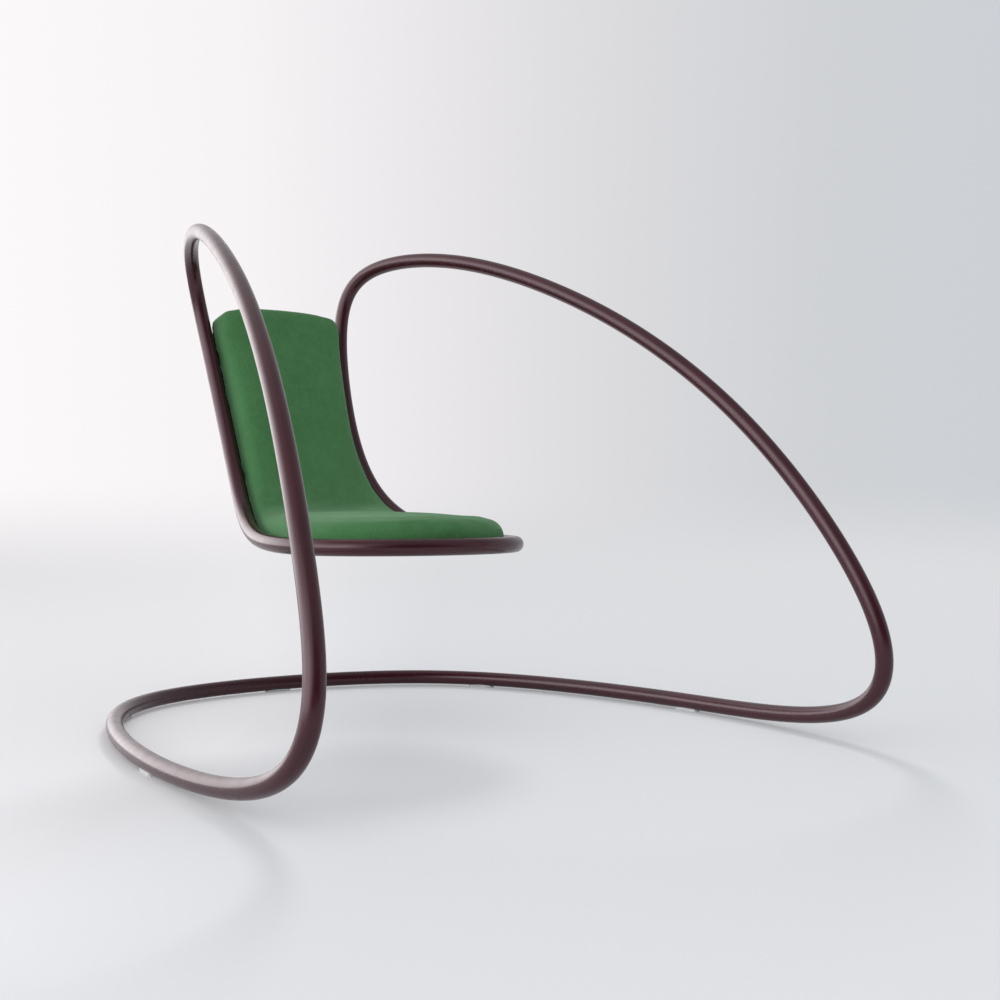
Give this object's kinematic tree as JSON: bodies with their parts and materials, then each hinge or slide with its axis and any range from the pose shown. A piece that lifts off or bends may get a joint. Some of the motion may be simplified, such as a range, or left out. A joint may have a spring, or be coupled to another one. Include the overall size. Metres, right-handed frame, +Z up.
{
  "type": "cantilever chair",
  "caption": "Cantilever lounge chair of one closed loop of dark red painted tube with a green upholstered seat and back.",
  "frame": {"origin": "on the floor, under the middle of the chair's overall width and length", "axes": "+Z up; -Y is the way the sitter faces; +X is the sitter's left; the chair is mirror-symmetric about X = 0"},
  "size_m": [1.2204, 1.3527, 1.0228],
  "materials": {
    "frame_paint": "gloss",
    "plated_steel": "satin",
    "rivet_aluminium": "satin",
    "glide_plastic": "matte",
    "plywood": "matte",
    "foam": "matte",
    "green_fabric": "matte",
    "lining_fabric": "matte"
  },
  "bodies": {
    "root": {"arm_sleeve_left": "plated_steel", "arm_sleeve_right": "plated_steel", "back_lining": "lining_fabric", "back_tube_left": "frame_paint", "back_tube_right": "frame_paint", "base_tube": "frame_paint", "foot_sleeve_left": "plated_steel", "foot_sleeve_right": "plated_steel", "glide_front_left": "glide_plastic", "glide_front_right": "glide_plastic", "glide_rear_centre": "glide_plastic", "glide_rear_left": "glide_plastic", "glide_rear_right": "glide_plastic", "glide_rivets": "rivet_aluminium", "lug_back_lower_left": "frame_paint", "lug_back_lower_right": "frame_paint", "lug_back_upper_left": "frame_paint", "lug_back_upper_right": "frame_paint", "lug_front": "frame_paint", "lug_rail_front_left": "frame_paint", "lug_rail_front_right": "frame_paint", "lug_rail_rear_left": "frame_paint", "lug_rail_rear_right": "frame_paint", "post_sleeve_left": "plated_steel", "post_sleeve_right": "plated_steel", "seat_cover": "green_fabric", "seat_foam": "foam", "seat_screws": "plated_steel", "seat_shell": "plywood", "seat_tube": "frame_paint", "seat_washers": "plated_steel", "side_tube_left": "frame_paint", "side_tube_right": "frame_paint", "sleeve_grub_screws": "plated_steel", "tee_nuts": "plated_steel"}
  },
  "joints": []
}
